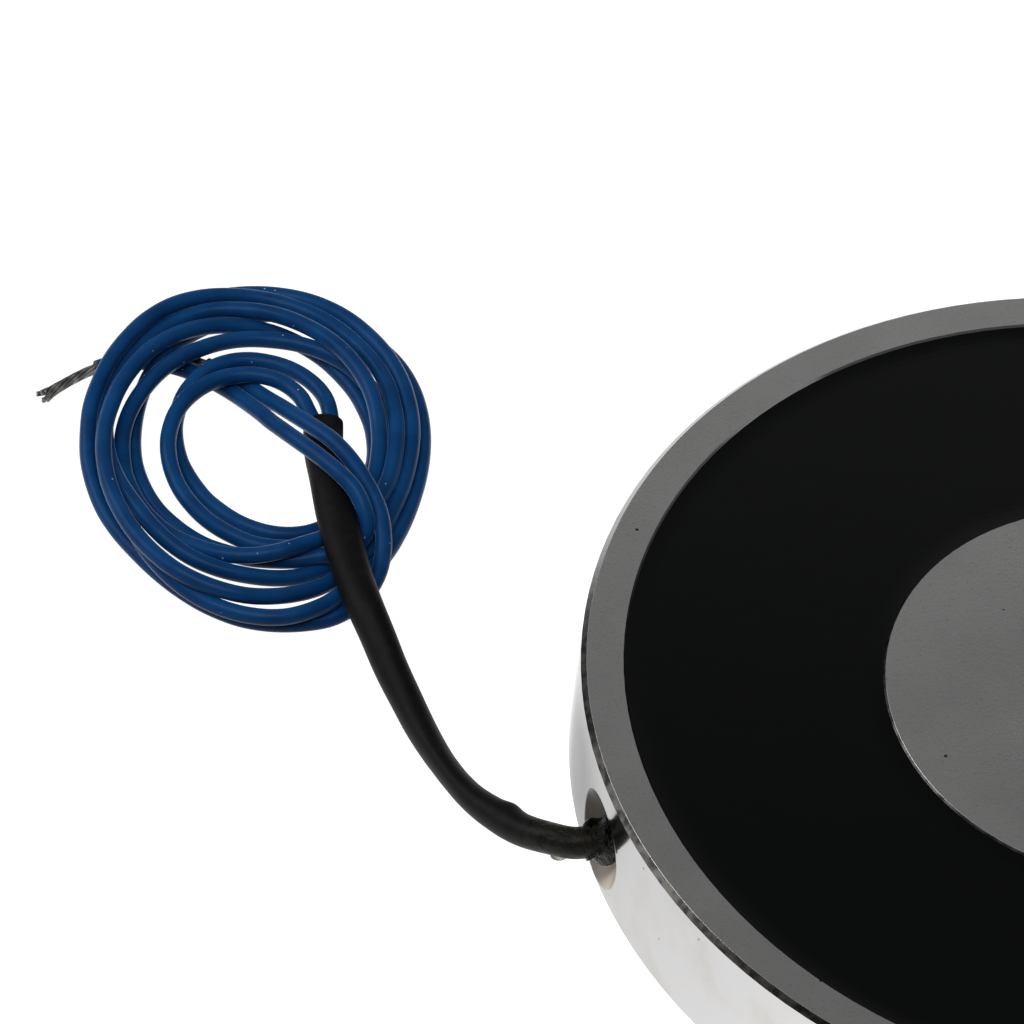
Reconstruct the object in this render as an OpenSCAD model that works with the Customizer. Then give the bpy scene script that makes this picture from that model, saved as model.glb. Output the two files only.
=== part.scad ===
// Round flat holding electromagnet, lying on its back with the holding face up.
// One turned steel pot carries a potted winding, and two leads leave through its side.
// The origin is the middle of the back face, +Z points out of the holding face,
// and the leads leave towards -X. Sizes are in millimetres.

/* [Pot] */
// Outer diameter of the steel pot
body_d = 80; // [70:0.5:100]
// Height of the pot, from the back face to the holding face
body_h = 10; // [9:0.25:14]
// Thickness of the back plate
back_t = 2.2; // [1.9:0.1:3]
// Wall of the outer ring
ring_w = 3.2; // [2.8:0.1:5]
// Diameter of the centre pole
pole_d = 36.2; // [28:0.2:40]
// Chamfer round the outer edge of the holding face
rim_chamfer = 0.4; // [0.2:0.05:0.8]
// Chamfer round the outer edge of the back face
back_chamfer = 0.2; // [0.1:0.05:0.3]
// Edge break on the ring and on the pole, beside the potting
edge_break = 0.15; // [0.05:0.05:0.3]

/* [Mounting thread] */
// Tapping bore of the thread in the back face
tap_d = 5; // [4.2:0.1:6.8]
// Straight wall of the tapping bore, past its mouth chamfer
tap_wall = 6; // [4:0.25:6.5]
// Chamfer at the mouth of the thread
tap_chamfer = 0.6; // [0.3:0.1:1]

/* [Lead exit] */
// Bore through the ring for the leads
exit_bore_d = 3.4; // [3:0.1:4]
// Height of the lowest edge of that bore above the floor of the groove
exit_lift = 0.1; // [0.1:0.1:1]
// Depth of the right-angled countersink round the mouth of the bore
exit_sink = 2; // [1:0.1:2.2]
// Length of the glue that fills the mouth beyond the countersink's foot
glue_rise = 1.1; // [0.6:0.1:1.6]
// Rounded collar of the glue, out from the sleeve
glue_collar = 0.75; // [0.5:0.05:1]

/* [Winding] */
// Radial clearance between the pole and the bobbin
bobbin_clear = 0.2; // [0.1:0.05:0.4]
// Wall of the bobbin's tube
bobbin_wall = 0.6; // [0.4:0.1:1]
// Thickness of each bobbin flange
flange_t = 0.6; // [0.4:0.1:1]
// Step from the tape out to the rim of the flanges
flange_lip = 0.2; // [0.1:0.05:0.5]
// Thickness of the tape round the winding
tape_t = 0.3; // [0.1:0.05:0.5]
// Room between the flanges and the ring, where the leads are joined
lead_space = 3.4; // [3:0.1:5]
// Diameter of the enamelled wire at the ends of the winding
wire_d = 0.4; // [0.2:0.05:0.6]

/* [Joined leads] */
// Bend radius of a lead where it turns into the groove
lead_bend = 1.7; // [1.3:0.1:2]
// Run of a lead along the groove, from the exit to its soldered end
lead_run = 12; // [8:0.5:20]
// Diameter of a soldered joint
solder_d = 0.9; // [0.6:0.05:1.1]
// Length of a soldered joint
solder_len = 4; // [3:0.5:8]
// Wall of the insulating sleeve over a joint
cover_wall = 0.3; // [0.2:0.05:0.5]
// Length by which that sleeve runs past the joint at each end
cover_grip = 2; // [1:0.25:3]
// Run of the enamelled wire from the joint to its bend
wire_run = 5; // [3:0.5:10]
// Bend radius of the enamelled wire
wire_bend = 0.6; // [0.5:0.1:0.8]

/* [Potting] */
// Resin over the upper flange of the bobbin, up to the holding face
resin_cover = 1; // [0.8:0.1:2]
// Depth of the middle of the resin below the holding face
resin_sink = 0.22; // [0.1:0.02:0.4]
// Depth of the resin below the holding face where it meets the steel
resin_edge = 0.16; // [0.15:0.01:0.3]
// Width of the curved edge where the resin climbs the steel
resin_climb = 1.6; // [0.8:0.1:3]

/* [Leads outside] */
// Outer diameter of one insulated lead
lead_d = 1.25; // [1:0.05:1.4]
// Gap between the two leads inside the exit
lead_gap = 0.1; // [0.08:0.01:0.15]
// Clearance of a lead in the glue and the resin
resin_gap = 0.03; // [0.02:0.01:0.04]
// Outer diameter of the shrunk sleeve over both leads
sleeve_d = 2.5; // [2.2:0.1:2.8]
// Length of the sleeve inside the wall of the pot
sleeve_grip = 2.4; // [1.5:0.1:2.8]
// Outer width of the coiled leads
coil_w = 26; // [22:0.5:30]
// Outer length of the coiled leads
coil_len = 35; // [32:0.5:40]
// Height of the coiled leads
coil_h = 2.6; // [2:0.1:2.6]
// Width of the opening in the coil
opening_w = 12; // [8:0.5:14]
// Length of the opening in the coil
opening_len = 17; // [14:0.5:20]
// Diameter of the bare strands at the end of a lead
bare_d = 0.8; // [0.5:0.05:1]

/* [Hidden] */
$fn = 96;

// Overshoot of a cut past the face that it opens
cut = 1;
// Half of a standard drill's point angle
drill_half_angle = 59;

// Radii of the pot
body_r = body_d / 2;
groove_r = body_r - ring_w;
pole_r = pole_d / 2;
groove_h = body_h - back_t;

// Thread in the back face
tap_r = tap_d / 2;
tap_end = tap_chamfer + tap_wall;
tap_point = tap_r / tan(drill_half_angle);

// Exit bore, just above the floor of the groove
exit_r = exit_bore_d / 2;
exit_z = back_t + exit_lift + exit_r;
exit_foot = body_r - exit_sink;
sleeve_in = body_r - sleeve_grip;
sleeve_r = sleeve_d / 2;

// Bobbin and winding, from the pole outwards
bobbin_in = pole_r + bobbin_clear;
winding_in = bobbin_in + bobbin_wall;
flange_r = groove_r - lead_space;
tape_r = flange_r - flange_lip;
winding_out = tape_r - tape_t;
bobbin_top = body_h - resin_cover;
winding_low = back_t + flange_t;
winding_high = bobbin_top - flange_t;

// Circle along which the joined leads lie, midway between flanges and ring
channel_r = groove_r - lead_space / 2;
lead_room_d = lead_d + 2 * resin_gap;
cover_d = lead_room_d + 2 * cover_wall;

// Turn of a lead from the exit into the groove
lead_y = (lead_d + lead_gap) / 2;
turn_y = lead_y + lead_bend;
turn_x = -sqrt(pow(channel_r + lead_bend, 2) - pow(turn_y, 2));
turn_end = asin(turn_y / (channel_r + lead_bend));

// Angles along the channel, counted from the exit
solder_from = turn_end + channel_angle(lead_run);
solder_to = solder_from + channel_angle(solder_len);
cover_from = solder_from - channel_angle(cover_grip);
cover_to = solder_to + channel_angle(cover_grip);
wire_to = solder_to + channel_angle(wire_run);

// Route of one lead: in from the sleeve, round its bend and along the channel
bend_steps = 6;
channel_step = 3;
lead_route = concat(
    [[-sleeve_in, lead_y, exit_z]],
    [for (i = [0:bend_steps])
        let (a = -90 + (90 - turn_end) * i / bend_steps)
        [turn_x + lead_bend * cos(a), turn_y + lead_bend * sin(a), exit_z]],
    [for (a = [turn_end + channel_step:channel_step:solder_from - channel_step]) channel_point(a)],
    [channel_point(solder_from - channel_step / 20), channel_point(solder_from)]
);
lead_sides = 12;

// Route of one end of the winding's wire: along the channel, round its bend and in
wire_route = concat(
    [channel_point(solder_to), channel_point(solder_to + channel_step / 20)],
    [for (a = [solder_to + channel_step:channel_step:wire_to - channel_step / 2]) channel_point(a)],
    [for (i = [0:bend_steps])
        let (a = 90 * i / bend_steps)
        wire_point(-channel_r + wire_bend * (1 - cos(a)), wire_bend * sin(a))],
    [wire_point(-winding_out, wire_bend)]
);

// Height of the sleeve's axis where a flat of it lies on the coil
sleeve_sides = 8;
sleeve_high = coil_h + sleeve_r * cos(180 / sleeve_sides);

// Course of the sleeve outside, in X from the wall: down to the table, then up onto the coil
sleeve_course = [
    [0, 0, exit_z],
    [-1.8, 0.1, exit_z],
    [-3.4, 1.2, sleeve_lift(exit_z, 0.9)],
    [-4.8, 2.9, sleeve_lift(exit_z, 0.65)],
    [-6, 5.2, sleeve_lift(exit_z, 0.4)],
    [-7.1, 8, sleeve_lift(exit_z, 0.15)],
    [-7.9, 11.3, sleeve_r],
    [-8.5, 14.7, sleeve_r],
    [-9, 18.1, sleeve_lift(sleeve_high, 0.2)],
    [-9.4, 20.5, sleeve_lift(sleeve_high, 0.45)],
    [-9.7, 23, sleeve_lift(sleeve_high, 0.75)],
    [-10, 25.6, sleeve_high],
    [-10, 28.5, sleeve_high],
    [-9.8, 31.6, sleeve_high],
    [-9.5, 34.8, sleeve_high],
    [-9, 38.2, sleeve_high],
    [-8.4, 41.6, sleeve_lift(sleeve_high, 0.75)],
    [-7.5, 44.7, sleeve_lift(sleeve_high, 0.5)]
];
sleeve_route = concat(
    [[-sleeve_in, 0, exit_z]],
    [for (p = sleeve_course) beyond_wall(p)]
);

// Place of the coil on the table, and the turn of its long side from the Y axis
coil_at = beyond_wall([-12.6, 43.7, 0]);
coil_turn = -13.4;

// Ends of the bare strands: inside the coil, and at the tip
bare_from = beyond_wall([-20, 56.4, 0.8]);
bare_tip = beyond_wall([-27.2, 53.2, 0.6]);

// Point beside the foot of a wire's bend: X runs in to the axis, Y runs on along the channel
function wire_point(x, y) = [
    x * cos(wire_to) + y * sin(wire_to),
    y * cos(wire_to) - x * sin(wire_to),
    exit_z
];

// Point given by its distance from the wall at the exit
function beyond_wall(p) = [p[0] - body_r, p[1], p[2]];

// Height of the sleeve's axis at a share of the way from the table up to a height
function sleeve_lift(top, share) = sleeve_r + share * (top - sleeve_r);

// Angle along the channel that a length of wire takes up
function channel_angle(length) = length / channel_r * 180 / PI;

// Point on the channel's circle, at an angle from the exit
function channel_point(angle) =
    [-channel_r * cos(angle), channel_r * sin(angle), exit_z];

// Height of the resin at a radius: level in the middle, climbing at both steel walls
function resin_z(r) =
    let (
        wall = min(r - pole_r, groove_r - r),
        level = min(wall / resin_climb, 1)
    )
    body_h - resin_sink + (resin_sink - resin_edge) * pow(1 - level, 2);

// Radii at which the resin's top is worked out, from the ring in to the pole
resin_steps = [0, 0.2, 0.45, 0.7, 1];
resin_radii = concat(
    [for (s = resin_steps) groove_r - s * resin_climb],
    [for (i = [len(resin_steps) - 1:-1:0]) pole_r + resin_steps[i] * resin_climb]
);

function unit(v) = v / norm(v);

function route_heading(route, i) =
    unit(route[min(i + 1, len(route) - 1)] - route[max(i - 1, 0)]);

// One ring of a tube, with a flat side down
function tube_ring(route, i, r, sides) =
    let (
        ahead = route_heading(route, i),
        aside = unit(cross(ahead, [0, 0, 1])),
        above = cross(aside, ahead)
    )
    [for (k = [0:sides - 1])
        let (a = (k + 0.5) * 360 / sides)
        route[i] + r * (cos(a) * aside + sin(a) * above)];

// Closed tube swept along a list of points
module tube_along(route, r, sides) {
    last = len(route) - 1;
    rings = [for (i = [0:last]) each tube_ring(route, i, r, sides)];
    walls = [
        for (i = [0:last - 1])
            for (k = [0:sides - 1])
                let (
                    near = i * sides + k,
                    near_next = i * sides + (k + 1) % sides,
                    far = near + sides,
                    far_next = near_next + sides
                )
                each [[near, near_next, far_next], [near, far_next, far]]
    ];
    start_cap = [for (k = [sides - 1:-1:0]) k];
    end_cap = [for (k = [0:sides - 1]) last * sides + k];
    polyhedron(points = rings, faces = concat(walls, [start_cap, end_cap]));
}

// Round rod between two points
module rod(from, to, d) {
    v = to - from;
    translate(from)
        rotate([0, acos(v[2] / norm(v)), atan2(v[1], v[0])])
            cylinder(h = norm(v), d = d);
}

// Puts what follows on the axis of the exit, with its Z axis pointing out of the mouth
module on_exit_axis() {
    translate([0, 0, exit_z])
        rotate([0, -90, 0])
            children();
}

module bobbin_ring(inner_r, outer_r, low, high) {
    rotate_extrude()
        translate([inner_r, low])
            square([outer_r - inner_r, high - low]);
}

// Stretch of round wire along the channel, between two angles from the exit
module channel_wire(from_angle, to_angle, d) {
    translate([0, 0, exit_z])
        rotate([0, 0, 180 - to_angle])
            rotate_extrude(angle = to_angle - from_angle)
                translate([channel_r, 0])
                    circle(d = d);
}

// Insulated lead from the end of the sleeve, through the wall and along the groove
module lead_tail() {
    tube_along(lead_route, lead_d / 2, lead_sides);
}

// Room for that lead in the glue and the resin
module lead_room() {
    tube_along(
        concat([[-body_r, lead_y, exit_z]], lead_route),
        lead_room_d / 2,
        lead_sides
    );
}

// Straight end of the enamelled wire, which runs in to the winding
module wire_inlet() {
    rotate([0, 0, -wire_to])
        translate([-channel_r + wire_bend, wire_bend, exit_z])
            rotate([0, 90, 0])
                cylinder(h = channel_r - winding_out, d = wire_d);
}

// Enamelled wire from a joint, along the groove and in to the winding
module winding_wire() {
    tube_along(wire_route, wire_d / 2, lead_sides);
}

module solder_joint() {
    channel_wire(solder_from, solder_to, solder_d);
}

// Insulating sleeve shrunk over a joint and the end of its lead
module joint_cover() {
    difference() {
        channel_wire(cover_from, cover_to, cover_d);
        channel_wire(cover_from - cut, cover_to + cut, lead_room_d);
    }
}

module other_side() {
    mirror([0, 1, 0])
        children();
}

module both_sides() {
    children();
    other_side() children();
}

// Outline of the coiled leads: straight sides with round ends
module round_ended(width, length) {
    straight = length - width;
    square([width, straight], center = true);
    for (end = [-1, 1])
        translate([0, end * straight / 2])
            circle(d = width);
}

module coil_place() {
    translate(coil_at)
        rotate([0, 0, coil_turn])
            children();
}

// Steel pot, turned in one piece: back plate, ring and pole, with its thread and lead exit
module pot() {
    color("lightgray")
        difference() {
            rotate_extrude()
                polygon([
                    [0, 0],
                    [body_r - back_chamfer, 0],
                    [body_r, back_chamfer],
                    [body_r, body_h - rim_chamfer],
                    [body_r - rim_chamfer, body_h],
                    [groove_r + edge_break, body_h],
                    [groove_r, body_h - edge_break],
                    [groove_r, back_t],
                    [pole_r, back_t],
                    [pole_r, body_h - edge_break],
                    [pole_r - edge_break, body_h],
                    [0, body_h]
                ]);
            thread_hole();
            exit_hole();
        }
}

module thread_hole() {
    rotate_extrude()
        polygon([
            [0, -cut],
            [tap_r + tap_chamfer + cut, -cut],
            [tap_r, tap_chamfer],
            [tap_r, tap_end],
            [0, tap_end + tap_point]
        ]);
}

module exit_hole() {
    on_exit_axis()
        rotate_extrude()
            polygon([
                [0, groove_r - cut],
                [exit_r, groove_r - cut],
                [exit_r, exit_foot],
                [exit_r + exit_sink + cut, body_r + cut],
                [0, body_r + cut]
            ]);
}

// Moulded spool of the winding, with a flange at each end
module bobbin() {
    color("ivory")
        rotate_extrude()
            polygon([
                [bobbin_in, back_t],
                [flange_r, back_t],
                [flange_r, winding_low],
                [winding_in, winding_low],
                [winding_in, winding_high],
                [flange_r, winding_high],
                [flange_r, bobbin_top],
                [bobbin_in, bobbin_top]
            ]);
}

// Copper winding, all its turns as one ring
module winding() {
    color("peru")
        bobbin_ring(winding_in, winding_out, winding_low, winding_high);
}

// Tape round the winding, pierced by the two ends of its wire
module winding_tape() {
    color("gold")
        difference() {
            bobbin_ring(winding_out, tape_r, winding_low, winding_high);
            both_sides() wire_inlet();
        }
}

module start_wire() {
    color("sienna") winding_wire();
}

module finish_wire() {
    color("sienna") other_side() winding_wire();
}

module start_solder() {
    color("silver") solder_joint();
}

module finish_solder() {
    color("silver") other_side() solder_joint();
}

module start_cover() {
    color("dimgray") joint_cover();
}

module finish_cover() {
    color("dimgray") other_side() joint_cover();
}

module start_lead_tail() {
    color("midnightblue") lead_tail();
}

module finish_lead_tail() {
    color("midnightblue") other_side() lead_tail();
}

// Black resin round the winding and over it, up to just under the holding face
module potting() {
    color([0.08, 0.08, 0.09])
        difference() {
            rotate_extrude()
                polygon(concat(
                    [
                        [pole_r, bobbin_top],
                        [flange_r, bobbin_top],
                        [flange_r, winding_high],
                        [tape_r, winding_high],
                        [tape_r, winding_low],
                        [flange_r, winding_low],
                        [flange_r, back_t],
                        [groove_r, back_t]
                    ],
                    [for (r = resin_radii) [r, resin_z(r)]]
                ));
            both_sides() lead_room();
            both_sides() channel_wire(cover_from, cover_to, cover_d);
            both_sides() winding_wire();
        }
}

// Black glue that fills the exit bore and holds the sleeve in a rounded collar
module exit_glue() {
    collar_foot = exit_foot + sleeve_r + glue_collar - exit_r;
    color([0.1, 0.1, 0.1])
        difference() {
            on_exit_axis()
                rotate_extrude()
                    polygon(concat(
                        [
                            [0, groove_r - cut],
                            [exit_r, groove_r - cut],
                            [exit_r, exit_foot]
                        ],
                        [for (a = [0:15:90]) [
                            sleeve_r + glue_collar * cos(a),
                            collar_foot + glue_rise * sin(a)
                        ]],
                        [[0, collar_foot + glue_rise]]
                    ));
            translate([0, 0, back_t])
                cylinder(h = groove_h, r = groove_r);
            on_exit_axis()
                translate([0, 0, sleeve_in])
                    cylinder(h = sleeve_grip + cut, d = sleeve_d);
            both_sides() lead_room();
        }
}

// Shrunk sleeve over both leads, from the wall to its open end on the coil
module lead_sleeve() {
    color([0.13, 0.13, 0.13])
        tube_along(sleeve_route, sleeve_r, sleeve_sides);
}

// Outer shape of both leads, coiled loosely on the table
module lead_coil() {
    color("navy")
        coil_place()
            linear_extrude(coil_h)
                difference() {
                    round_ended(coil_w, coil_len);
                    round_ended(opening_w, opening_len);
                }
}

// Bare strands of the lead end that sticks out of the coil
module bare_end() {
    color("gray")
        difference() {
            rod(bare_from, bare_tip, bare_d);
            coil_place()
                linear_extrude(coil_h)
                    round_ended(coil_w, coil_len);
        }
}

pot();
bobbin();
winding();
winding_tape();
start_wire();
finish_wire();
start_solder();
finish_solder();
start_cover();
finish_cover();
start_lead_tail();
finish_lead_tail();
potting();
exit_glue();
lead_sleeve();
lead_coil();
bare_end();
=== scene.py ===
# %% [markdown]
# # A holding electromagnet
# This is a flat steel pot with a winding cast into it, lying on its back, with its two
# leads coiled beside it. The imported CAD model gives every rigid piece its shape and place.
# What is left to make here is what bends, what was smeared on by hand, and how it all looks.
# Lengths are in metres and in the CAD's own frame: the origin is the middle of the back
# face, +Z comes out of the holding face, and the leads leave towards -X.

import math

import bpy
import numpy as np
from mathutils import Matrix, Vector


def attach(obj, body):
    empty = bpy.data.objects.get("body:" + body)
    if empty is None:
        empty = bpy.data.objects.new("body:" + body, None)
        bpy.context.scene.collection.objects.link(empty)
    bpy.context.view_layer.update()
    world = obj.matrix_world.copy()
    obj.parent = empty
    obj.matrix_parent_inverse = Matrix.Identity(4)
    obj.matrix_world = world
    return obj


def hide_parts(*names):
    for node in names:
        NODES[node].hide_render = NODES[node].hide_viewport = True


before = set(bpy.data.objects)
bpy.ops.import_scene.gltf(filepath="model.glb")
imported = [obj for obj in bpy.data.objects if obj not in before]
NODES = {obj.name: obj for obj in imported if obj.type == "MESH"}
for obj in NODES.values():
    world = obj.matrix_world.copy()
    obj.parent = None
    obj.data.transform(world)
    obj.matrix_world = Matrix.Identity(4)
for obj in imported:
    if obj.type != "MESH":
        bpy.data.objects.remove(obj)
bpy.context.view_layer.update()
MM = 0.001

# %% [markdown]
# ## Camera
# A photograph tells where its camera stood. Here the two ellipses of the ring fix the
# viewing direction, and how much larger the near edge looks than the far one fixes the
# distance. The result is a long lens, as product photographers use, half a metre away.
# The camera is written as a place and two directions, which is easier to check than angles.

# %% Camera
CAMERA_AT = Vector((-0.1993, -0.3624, 0.4633))
CAMERA_RIGHT = Vector((0.9526, -0.2915, 0.0869))
CAMERA_UP = Vector((0.1589, 0.7207, 0.6748))
CAMERA_LENS_MM = 297.8
SENSOR_MM = 36.0


def add_object(name, data):
    """Object of some data, put into the scene."""
    thing = bpy.data.objects.new(name, data)
    bpy.context.scene.collection.objects.link(thing)
    return thing


lens = bpy.data.cameras.new("photo_camera")
lens.lens = CAMERA_LENS_MM
lens.sensor_width = SENSOR_MM
camera = add_object("photo_camera", lens)
right = CAMERA_RIGHT.normalized()
backward = right.cross(CAMERA_UP).normalized()
axes = Matrix((right, backward.cross(right), backward)).transposed()
camera.matrix_world = Matrix.Translation(CAMERA_AT) @ axes.to_4x4()
bpy.context.scene.camera = camera
VIEW = -np.array(backward)
print("camera: lens", CAMERA_LENS_MM, "mm, looking along", VIEW.round(2))

# %% [markdown]
# ## Routes of the sleeve and the leads
# A cord has a fixed length and lies under its own weight, so its route comes before its
# looks. The sleeve repeats the points of its CAD solid. Each lead leaves the sleeve's mouth,
# runs four and a half turns round the coil, and then crosses back over the sleeve and under
# the coil. The turns are told by one radius and one height every ten degrees about the
# coil's middle: a table in polar form is short, and two strands side by side are easy to
# compare in it. Where one strand passes over another, its height rises in a long low hump.

# %% Routes in millimetres
LEAD_D = 1.25 * MM
COIL_AT = (-52.6, 43.7)
STATION_STEP = 10
# Height of a strand's axis where it lies on the table
LEAD_LOW = 0.625

SLEEVE_ROUTE = [
    (-37.6, 0, 4), (-40, 0, 4), (-41.8, 0.1, 4), (-43.4, 1.2, 3.725), (-44.8, 2.9, 3.038),
    (-46, 5.2, 2.35), (-47.1, 8, 1.663), (-47.9, 11.3, 1.25), (-48.5, 14.7, 1.25),
    (-49, 18.1, 1.751), (-49.4, 20.5, 2.377), (-49.7, 23, 3.129), (-50, 25.6, 3.755),
    (-50, 28.5, 3.755), (-49.8, 31.6, 3.755), (-49.5, 34.8, 3.755), (-49, 38.2, 3.755),
    (-48.4, 41.6, 3.129), (-47.5, 44.7, 2.502),
]

# Points inside the sleeve's mouth, from which each lead comes out
FIRST_ROOT = [(-47.3, 42.4, 2.95), (-46.95, 44.3, 2.6)]
SECOND_ROOT = [(-48.6, 42.7, 2.95), (-48.2, 44.6, 2.6)]

# First lead: turns from 380 degrees on, then its end over the sleeve and out to the left
FIRST_START = 380
FIRST_RADII = [
    6.25, 6.85, 7.35, 7.8, 8.2, 8.5, 8.75, 8.8, 8.65, 8.35, 7.95, 7.45, 7, 6.55, 6.2, 5.95, 5.75,
    5.65, 5.65, 5.75, 5.9, 6.15, 6.5, 6.85, 7.25, 7.6, 7.85, 8, 8.05, 8.05, 8.1, 8.25, 8.4, 8.65,
    8.95, 9.35, 9.8, 10.4, 11.05, 11.75, 12.3, 12.65, 12.75, 12.65, 12.45, 12.25, 12, 11.75, 11.6,
    11.55, 11.65, 11.85, 12.15, 12.55, 13.05, 13.65, 14.3, 14.9, 15.2, 15.2, 14.8, 14.2, 13.4,
    12.6, 11.8, 11.3, 11, 10.95, 11.05, 11.35, 11.8, 12.35, 13.05, 13.8, 14.6, 15.45, 16.1, 16.45,
    16.45, 16.15, 15.65, 15.1, 14.6, 14, 13.35, 12.7, 12.15, 11.75, 11.65, 11.8, 12.25, 13, 13.95,
    14.95, 15.85, 16.55, 16.75, 16.1, 14.9, 13.9, 13.05, 12.4, 12, 11.85, 11.95, 12.25, 12.75,
    13.4, 14.15, 14.85, 15.35, 15.65, 15.6, 15.25, 14.55, 13.75, 12.9, 12.1, 11.35, 10.7, 10.15,
    9.75, 9.5, 9.35, 9.25, 9.25, 9.3, 9.35, 9.5, 9.65, 9.8, 10.05, 10.35,
]
FIRST_HEIGHTS = [
    2.75, 2.65, 2.6, 2.55, 2.5, 2.45, 2.4, 2.35, 2.25, 1.95, 1.7, 1.4, 1.2, 1.05, 0.95, 0.85, 0.8,
    0.75, 0.7, 0.65, 0.65, 0.65, 0.65, 0.6, 0.6, 0.6, 0.6, 0.65, 0.65, 0.6, 0.6, 0.65, 0.65, 0.65,
    0.65, 0.65, 0.6, 0.6, 0.6, 0.75, 1, 1.4, 1.85, 2.35, 2.75, 3, 3.15, 3.2, 3.25, 3.25, 3.3,
    3.35, 3.3, 3.25, 3.2, 3.15, 3.1, 3, 2.8, 2.45, 2.1, 1.75, 1.5, 1.35, 1.4, 1.45, 1.55, 1.6,
    1.7, 1.8, 1.9, 2, 2.05, 2.1, 2.05, 1.95, 1.8, 1.6, 1.5, 1.5, 1.65, 1.75, 1.8, 1.6, 1.25, 1,
    0.9, 0.95, 1.1, 1.35, 1.6, 1.8, 1.85, 1.8, 1.75, 1.85, 1.95, 1.95, 1.7, 1.35, 1.05, 0.85, 0.7,
    0.65, 0.65, 0.6, 0.6, 0.65, 0.65, 0.65, 0.6, 0.6, 0.65, 0.8, 1, 1.3, 1.55, 1.8, 1.55, 1.25,
    1.05, 0.9, 0.8, 0.7, 0.65, 0.65, 0.6, 0.6, 0.65, 0.65, 0.75, 0.85, 1.05,
]
FIRST_END = [
    (-52.8, 33, 1.25), (-51.35, 32.7, 1.6), (-49.95, 32.45, 1.9), (-48.5, 32.5, 2.35),
    (-47.6, 33.05, 3.3), (-47.55, 34.15, 4.3), (-47.85, 35.45, 5), (-48.45, 36.75, 5.35),
    (-49.1, 38.1, 5.35), (-49.7, 39.45, 5.2), (-50.25, 40.8, 4.9), (-50.75, 42.15, 4.5),
    (-51.15, 43.5, 4), (-51.55, 44.85, 3.5), (-51.85, 46.2, 3), (-52.2, 47.55, 2.5),
    (-52.6, 48.9, 2), (-53.1, 50.25, 1.55), (-53.75, 51.55, 1.2), (-54.55, 52.75, 0.9),
    (-55.55, 53.85, 0.75), (-56.75, 54.75, 0.65), (-58.1, 55.35, 0.63), (-59.55, 55.7, 0.63),
    (-61.05, 55.7, 0.63), (-62, 55.52, 0.65),
]

# Second lead: turns from 390 degrees on, then its end over the sleeve, tucked under the coil
SECOND_START = 390
SECOND_RADII = [
    4.85, 5.35, 5.8, 6.2, 6.5, 6.7, 6.85, 6.95, 7, 7, 7, 7, 6.95, 6.95, 6.95, 7, 7.1, 7.25, 7.45,
    7.7, 8, 8.35, 8.75, 9.05, 9.3, 9.4, 9.3, 9.15, 8.95, 8.8, 8.75, 8.75, 8.9, 9.15, 9.55, 10.05,
    10.6, 11.2, 11.85, 12.5, 13.2, 13.75, 14.15, 14.15, 13.85, 13.3, 12.8, 12.3, 11.95, 11.65,
    11.5, 11.4, 11.45, 11.55, 11.8, 12.05, 12.2, 12.15, 12.05, 11.95, 11.85, 11.6, 11.15, 10.75,
    10.35, 10.15, 10, 10.05, 10.15, 10.35, 10.65, 10.9, 11.15, 11.3, 11.35, 11.35, 11.3, 11.25,
    11.05, 10.8, 10.6, 10.4, 10.25, 10.25, 10.3, 10.35, 10.35, 10.45, 10.5, 10.65, 10.75, 10.9,
    10.95, 11, 10.95, 10.7, 10.35, 10.1, 10, 9.95, 9.95, 9.9, 9.9, 9.95, 10.15, 10.55, 11.05,
    11.75, 12.5, 13.3, 14.15, 14.85, 15.3, 15.5, 15.5, 15.25, 14.75, 14.15, 13.7, 13.35, 13.15,
    12.95, 12.9, 12.85, 12.9, 13, 13.25, 13.75, 14.45, 15.25, 15.95, 16.3, 16.45,
]
SECOND_HEIGHTS = [
    2.9, 2.95, 2.95, 2.95, 2.95, 2.95, 2.9, 2.85, 2.75, 2.7, 2.6, 2.45, 2.3, 2.15, 2, 1.85, 1.7,
    1.55, 1.45, 1.3, 1.2, 1.15, 1.05, 1.05, 1.05, 1.05, 1.15, 1.3, 1.45, 1.65, 1.8, 1.95, 2.15,
    2.35, 2.55, 2.75, 2.9, 3.05, 3.05, 3, 2.85, 2.65, 2.45, 2.2, 2.05, 2, 1.95, 1.95, 1.95, 2.05,
    2.15, 2.35, 2.55, 2.6, 2.45, 2.15, 1.8, 1.45, 1.15, 0.85, 0.7, 0.6, 0.6, 0.6, 0.6, 0.6, 0.65,
    0.65, 0.7, 0.8, 1, 1.25, 1.6, 1.85, 1.95, 2, 2, 2.05, 2.15, 2.25, 2.35, 2.45, 2.45, 2.3, 2.1,
    1.85, 1.6, 1.45, 1.35, 1.35, 1.35, 1.5, 1.7, 1.9, 2.15, 2.35, 2.45, 2.3, 2.2, 2.2, 2.25, 2.25,
    2.25, 2.25, 2.25, 2.25, 2.2, 2.2, 2.05, 1.9, 1.85, 1.9, 2.05, 2.3, 2.6, 2.85, 2.95, 2.95,
    2.85, 2.6, 2.3, 1.9, 1.45, 1.05, 0.75, 0.6, 0.6, 0.6, 0.6, 0.6, 0.6, 0.65, 0.75,
]
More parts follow.
